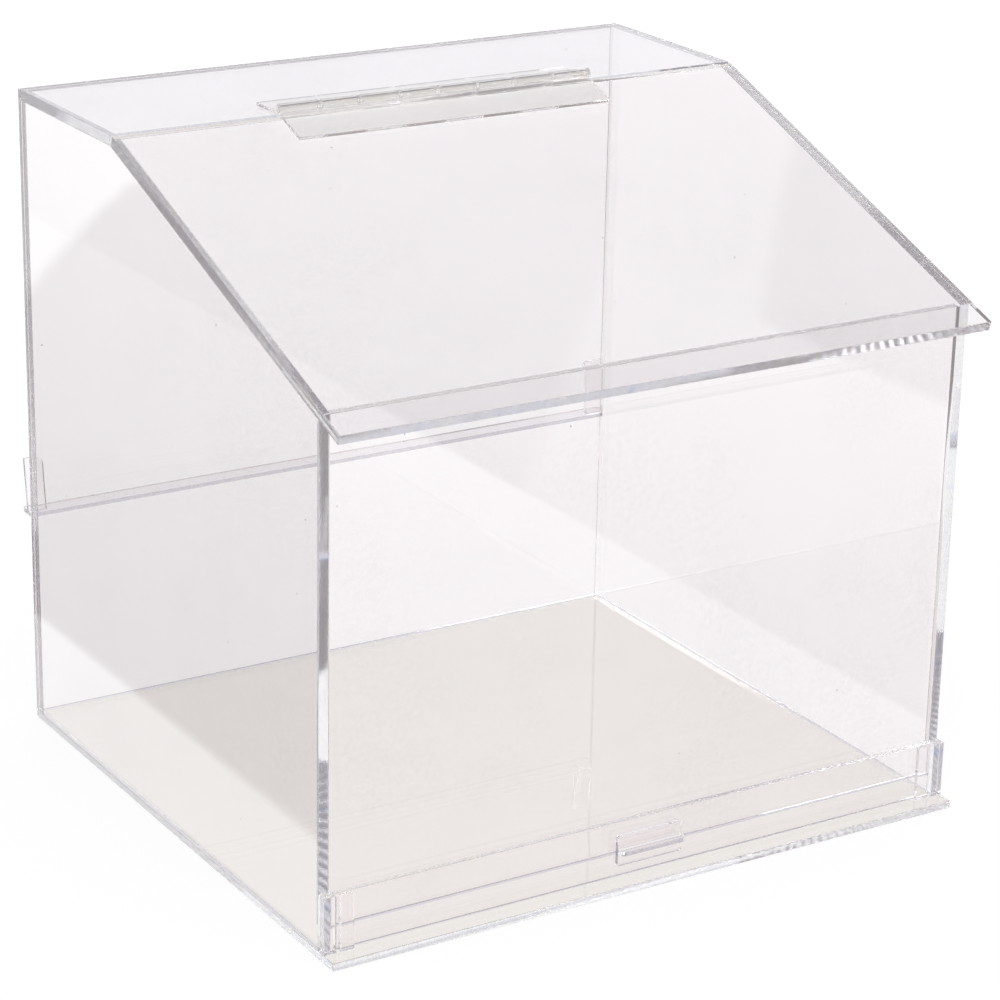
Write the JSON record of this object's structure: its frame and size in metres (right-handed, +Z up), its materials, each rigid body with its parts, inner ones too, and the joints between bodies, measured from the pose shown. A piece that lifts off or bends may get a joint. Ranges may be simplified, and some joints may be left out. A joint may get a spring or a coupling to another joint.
{
  "type": "countertop bread display bin",
  "caption": "Clear countertop bread bin with a sloped lid hinged to its top, a low gate with a small handle that lifts off the crumb slot at the front, and a card holder on its back.",
  "frame": {"origin": "middle of the base plate's underside, on the counter", "axes": "+Z up; -Y towards the front, where the lid opens and the gate stands; +X to the right of someone who faces the front"},
  "size_m": [0.305, 0.2944, 0.2964],
  "materials": {
    "clear_acrylic": "clear cast acrylic sheet with polished edges",
    "clear_hinge": "clear moulded acrylic"
  },
  "bodies": {
    "cabinet": {"base_plate": "clear_acrylic", "left_side_wall": "clear_acrylic", "right_side_wall": "clear_acrylic", "back_panel": "clear_acrylic", "front_panel": "clear_acrylic", "top_panel": "clear_acrylic", "hinge_top_leaf": "clear_hinge", "hinge_pin": "clear_hinge", "left_corner_post": "clear_acrylic", "right_corner_post": "clear_acrylic", "left_gate_guide": "clear_acrylic", "right_gate_guide": "clear_acrylic", "card_ledge": "clear_acrylic", "left_card_tab": "clear_acrylic", "right_card_tab": "clear_acrylic"},
    "lid": {"lid_panel": "clear_acrylic", "hinge_lid_leaf": "clear_hinge"},
    "gate": {"gate_panel": "clear_acrylic", "gate_handle_plate": "clear_acrylic", "gate_handle_grip": "clear_acrylic"}
  },
  "joints": [
    {"name": "lid_hinge", "type": "hinge", "parent": "cabinet", "child": "lid", "pos_m": [0, 0.04701, 0.294], "axis": [-1, 0, 0], "range_deg": [0, 200]},
    {"name": "gate_lift", "type": "slide", "parent": "cabinet", "child": "gate", "axis": [0, 0, 1], "range_m": [0, 0.024]}
  ]
}
